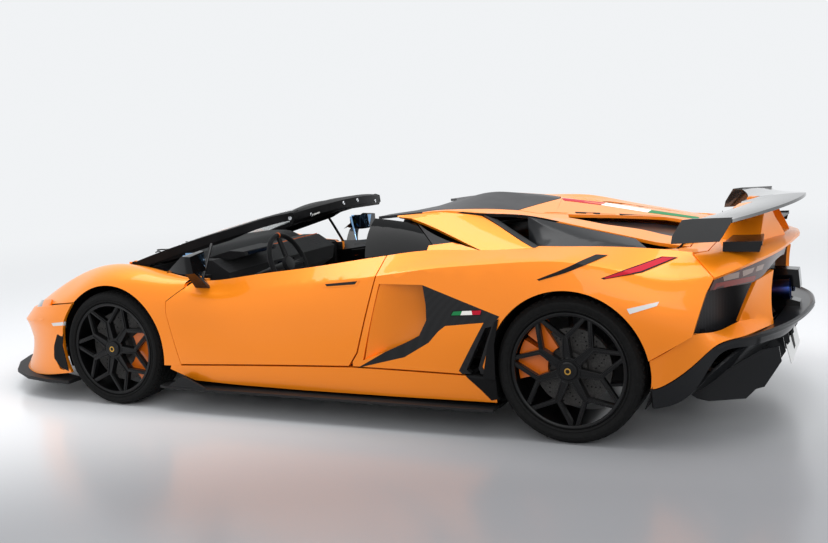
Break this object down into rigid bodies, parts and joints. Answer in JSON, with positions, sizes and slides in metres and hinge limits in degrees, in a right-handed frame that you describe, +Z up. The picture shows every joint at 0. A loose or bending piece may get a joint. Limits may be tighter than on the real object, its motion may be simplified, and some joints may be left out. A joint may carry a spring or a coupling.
{
  "type": "open-top mid-engined sports car",
  "caption": "Low wedge-shaped two-seat roadster with open roof, upswinging doors, mid engine under a louvred cover, rear wing and finned diffuser.",
  "frame": {"origin": "on the ground under the middle of the car", "axes": "+X forward, +Y to the driver's left, +Z up"},
  "size_m": [4.936, 2.2532, 1.122],
  "materials": {
    "body_paint": "gloss",
    "gloss_black": "gloss",
    "black_plastic": "matte",
    "screen_glass": "clear",
    "dark_glass": "tinted",
    "lamp_red": "gloss",
    "lamp_clear": "gloss",
    "exhaust_steel": "satin",
    "frame_alloy": "satin",
    "interior_leather": "matte",
    "engine_metal": "matte",
    "suspension_steel": "satin",
    "caliper_paint": "gloss",
    "tyre_rubber": "matte",
    "rim_black": "satin",
    "plate_white": "gloss",
    "brake_disc": "satin"
  },
  "bodies": {
    "car": {"front_bumper": "body_paint", "front_splitter": "gloss_black", "front_grilles": "black_plastic", "front_fenders": "body_paint", "windscreen": "screen_glass", "windscreen_frame": "gloss_black", "cowl": "black_plastic", "sill_panels": "body_paint", "side_skirts": "gloss_black", "rear_quarters": "body_paint", "side_blades": "gloss_black", "roof_deck": "gloss_black", "buttresses": "body_paint", "deck_vents": "gloss_black", "tail_deck": "body_paint", "rear_side_glass": "dark_glass", "rear_grille": "black_plastic", "tail_lamps": "lamp_red", "rear_bumper": "body_paint", "diffuser": "gloss_black", "exhaust": "exhaust_steel", "wing_blade": "gloss_black", "wing_pylons": "body_paint", "tub": "black_plastic", "frames": "frame_alloy", "dashboard": "interior_leather", "seats": "interior_leather", "steering_wheel": "interior_leather", "engine": "engine_metal", "suspension": "suspension_steel", "rear_calipers": "caliper_paint", "wheel_liners": "black_plastic", "headlamps": "lamp_clear", "side_glass_trim": "gloss_black", "number_plate": "plate_white", "plate_hanger": "black_plastic", "exhaust_surround": "gloss_black", "winglets": "gloss_black"},
    "wheel_front_left": {"tyre_front_left": "tyre_rubber", "rim_front_left": "rim_black", "disc_front_left": "brake_disc"},
    "wheel_front_right": {"tyre_front_right": "tyre_rubber", "rim_front_right": "rim_black", "disc_front_right": "brake_disc"},
    "wheel_rear_left": {"tyre_rear_left": "tyre_rubber", "rim_rear_left": "rim_black", "disc_rear_left": "brake_disc"},
    "wheel_rear_right": {"tyre_rear_right": "tyre_rubber", "rim_rear_right": "rim_black", "disc_rear_right": "brake_disc"},
    "hub_front_left": {"knuckle_front_left": "suspension_steel", "caliper_front_left": "caliper_paint"},
    "door_left": {"door_left": "body_paint", "mirror_left": "gloss_black"},
    "hub_front_right": {"knuckle_front_right": "suspension_steel", "caliper_front_right": "caliper_paint"},
    "door_right": {"door_right": "body_paint", "mirror_right": "gloss_black"},
    "bonnet": {"bonnet": "body_paint"},
    "engine_cover": {"engine_cover": "body_paint"}
  },
  "joints": [
    {"name": "steer_front_left", "type": "hinge", "parent": "car", "child": "hub_front_left", "pos_m": [1.256, 0.77, 0.3305], "axis": [0, 0, 1], "range_deg": [-25, 25]},
    {"name": "roll_front_left", "type": "hinge", "parent": "hub_front_left", "child": "wheel_front_left", "pos_m": [1.256, 0.86, 0.3305], "axis": [0, 1, 0], "continuous": true},
    {"name": "roll_rear_left", "type": "hinge", "parent": "car", "child": "wheel_rear_left", "pos_m": [-1.444, 0.845, 0.3555], "axis": [0, 1, 0], "continuous": true},
    {"name": "steer_front_right", "type": "hinge", "parent": "car", "child": "hub_front_right", "pos_m": [1.256, -0.77, 0.3305], "axis": [0, 0, 1], "range_deg": [-25, 25]},
    {"name": "roll_front_right", "type": "hinge", "parent": "hub_front_right", "child": "wheel_front_right", "pos_m": [1.256, -0.86, 0.3305], "axis": [0, 1, 0], "continuous": true},
    {"name": "roll_rear_right", "type": "hinge", "parent": "car", "child": "wheel_rear_right", "pos_m": [-1.444, -0.845, 0.3555], "axis": [0, 1, 0], "continuous": true},
    {"name": "open_door_left", "type": "hinge", "parent": "car", "child": "door_left", "pos_m": [0.738, 0.86, 0.712], "axis": [0, 0.9903, -0.1392], "range_deg": [0, 62]},
    {"name": "open_door_right", "type": "hinge", "parent": "car", "child": "door_right", "pos_m": [0.738, -0.86, 0.712], "axis": [0, 0.9903, 0.1392], "range_deg": [0, 62]},
    {"name": "open_bonnet", "type": "hinge", "parent": "car", "child": "bonnet", "pos_m": [1.356, 0, 0.775], "axis": [0, -1, 0], "range_deg": [0, 50]},
    {"name": "open_engine_cover", "type": "hinge", "parent": "car", "child": "engine_cover", "pos_m": [-1.947, 0, 0.942], "axis": [0, -1, 0], "range_deg": [0, 45]}
  ],
  "couplings": [
    {"joint": "steer_front_right", "follows": "steer_front_left", "ratio": 1}
  ]
}
